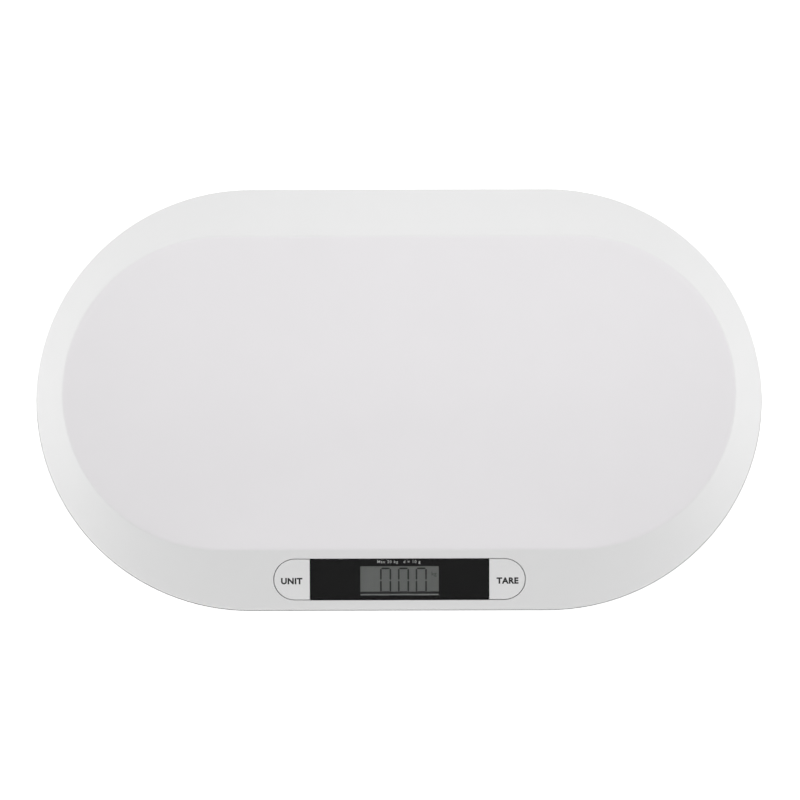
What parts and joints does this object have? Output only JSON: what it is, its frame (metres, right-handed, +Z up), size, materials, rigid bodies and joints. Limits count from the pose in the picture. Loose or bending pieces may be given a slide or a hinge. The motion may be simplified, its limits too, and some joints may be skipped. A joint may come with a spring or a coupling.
{
  "type": "animal weighing scale",
  "caption": "White oblong animal weighing scale: shallow dish with a raised rim, LCD window and two keys in the sloping front rim, weighing feet and battery hatch underneath.",
  "frame": {"origin": "on the table, under the middle of the case", "axes": "+X along the case to the right, -Y towards the display, +Z up"},
  "size_m": [0.55, 0.325, 0.0576],
  "materials": {
    "white_abs": "white ABS with a fine even texture",
    "key_abs": "pale cool grey ABS",
    "base_abs": "white ABS, textured",
    "smoked_acrylic": "clear acrylic with a black border behind it",
    "lcd": "grey reflective liquid crystal glass",
    "black_abs": "black ABS",
    "grey_nylon": "grey moulded nylon",
    "rubber": "soft grey rubber",
    "silicone": "contact strip rubber",
    "board": "green glass-fibre board",
    "epoxy": "black potting resin",
    "steel": "bright steel",
    "nickel": "nickel-plated spring steel",
    "battery_sleeve": "plain printed sleeve over the cell's can",
    "pvc": "grey wire sleeve"
  },
  "bodies": {
    "case": {"base_shell": "base_abs", "battery_1": "battery_sleeve", "battery_2": "battery_sleeve", "battery_3": "battery_sleeve", "battery_bridge_left": "nickel", "battery_bridge_right": "nickel", "battery_contact_minus": "nickel", "battery_contact_plus": "nickel", "battery_lead": "pvc", "battery_spring_1": "nickel", "battery_spring_2": "nickel", "battery_spring_3": "nickel", "board_screw_1": "steel", "board_screw_2": "steel", "board_screw_3": "steel", "board_screw_4": "steel", "case_screw_1": "steel", "case_screw_2": "steel", "case_screw_3": "steel", "case_screw_4": "steel", "case_screw_5": "steel", "case_screw_6": "steel", "cell_lead_front_left": "pvc", "cell_lead_front_right": "pvc", "cell_lead_rear_left": "pvc", "cell_lead_rear_right": "pvc", "cell_retainer_front_left": "black_abs", "cell_retainer_front_right": "black_abs", "cell_retainer_rear_left": "black_abs", "cell_retainer_rear_right": "black_abs", "controller_chip": "epoxy", "display_carrier": "black_abs", "display_lens": "smoked_acrylic", "foot_front_left": "grey_nylon", "foot_front_right": "grey_nylon", "foot_pad_front_left": "rubber", "foot_pad_front_right": "rubber", "foot_pad_rear_left": "rubber", "foot_pad_rear_right": "rubber", "foot_rear_left": "grey_nylon", "foot_rear_right": "grey_nylon", "lcd_connector": "silicone", "lcd_glass": "lcd", "load_cell_front_left": "steel", "load_cell_front_right": "steel", "load_cell_rear_left": "steel", "load_cell_rear_right": "steel", "main_board": "board", "tare_switch": "black_abs", "tray_shell": "white_abs", "unit_switch": "black_abs"},
    "unit_key": {"unit_button": "key_abs", "unit_switch_plunger": "grey_nylon"},
    "tare_key": {"tare_button": "key_abs", "tare_switch_plunger": "grey_nylon"},
    "battery_hatch": {"battery_door": "base_abs"}
  },
  "joints": [
    {"name": "unit_key_press", "type": "slide", "parent": "case", "child": "unit_key", "axis": [0, 0.4675, -0.884], "range_m": [0, 0.0005], "stiffness_N_per_m": 4000},
    {"name": "tare_key_press", "type": "slide", "parent": "case", "child": "tare_key", "axis": [0, 0.4675, -0.884], "range_m": [0, 0.0005], "stiffness_N_per_m": 4000},
    {"name": "battery_hatch_hinge", "type": "hinge", "parent": "case", "child": "battery_hatch", "pos_m": [0, 0.00955, 0.007], "axis": [-1, 0, 0], "range_deg": [0, 50]}
  ]
}
